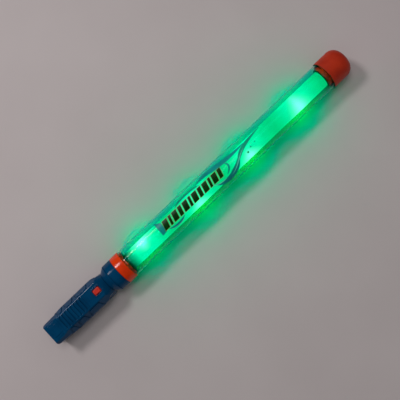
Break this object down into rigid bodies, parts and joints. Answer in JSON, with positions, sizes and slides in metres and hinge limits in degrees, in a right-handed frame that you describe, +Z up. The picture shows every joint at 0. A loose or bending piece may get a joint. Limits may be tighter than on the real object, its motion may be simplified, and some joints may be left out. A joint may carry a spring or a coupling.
{
  "type": "light-up water wand",
  "caption": "Light-up plunger wand: clear barrel, glowing rod and piston drawn by a pistol-style grip with push button, orange collar and nozzle cap.",
  "frame": {"origin": "middle of the wand's outline on the surface it lies on, under the barrel's axis plane", "axes": "+X along the barrel towards the nozzle, +Z up through the push button, +Y to the left seen from the handle"},
  "size_m": [0.513, 0.0402, 0.0402],
  "materials": {
    "clear_tube": "clear, faint teal tint",
    "orange_plastic": "moulded, satin",
    "cap_plastic": "moulded, dull satin",
    "button_plastic": "moulded, semi-gloss",
    "blue_plastic": "moulded, fine grain, semi-gloss",
    "lit_rod": "frosted diffuser, lit from inside",
    "led_lens": "green diode, lit",
    "label_print": "screen print on clear film",
    "black_rubber": "soft matt",
    "black_plastic": "moulded",
    "white_plastic": "moulded",
    "board_green": "solder mask",
    "steel": "nickel plated",
    "cell_jacket": "printed jacket",
    "red_wire": "insulated",
    "black_wire": "insulated"
  },
  "bodies": {
    "barrel": {"barrel_tube": "clear_tube", "rear_collar": "orange_plastic", "gland_seal": "black_rubber", "gland_retaining_ring": "orange_plastic", "nozzle_cap": "cap_plastic", "nozzle_jet": "cap_plastic", "cap_gasket": "black_rubber", "label_film": "label_print"},
    "handle": {"light_rod": "lit_rod", "rod_end_fitting": "orange_plastic", "piston_head": "black_plastic", "piston_ring": "black_rubber", "piston_screw": "steel", "rear_board_plug": "white_plastic", "front_board_plug": "white_plastic", "led_board": "board_green", "led_1": "led_lens", "led_2": "led_lens", "led_3": "led_lens", "led_4": "led_lens", "handle_bell": "blue_plastic", "top_grip_shell": "blue_plastic", "bottom_grip_shell": "blue_plastic", "battery_door": "blue_plastic", "battery_door_screw": "steel", "case_screw_rear": "steel", "case_screw_left": "steel", "case_screw_right": "steel", "lanyard_tab": "black_plastic", "battery_cell_1": "cell_jacket", "battery_cell_2": "cell_jacket", "battery_cell_3": "cell_jacket", "battery_spring_contact": "steel", "battery_plate_contact": "steel", "control_board": "board_green", "button_switch": "black_plastic", "rod_lead_red": "red_wire", "rod_lead_black": "black_wire", "battery_lead_red": "red_wire", "battery_lead_black": "black_wire"},
    "button": {"push_button": "button_plastic"}
  },
  "joints": [
    {"name": "plunger_slide", "type": "slide", "parent": "barrel", "child": "handle", "axis": [-1, 0, 0], "range_m": [0, 0.336]},
    {"name": "button_press", "type": "slide", "parent": "handle", "child": "button", "axis": [0, 0, -1], "range_m": [0, 0.0012], "stiffness_N_per_m": 1500, "springref_m": -0.0004}
  ]
}
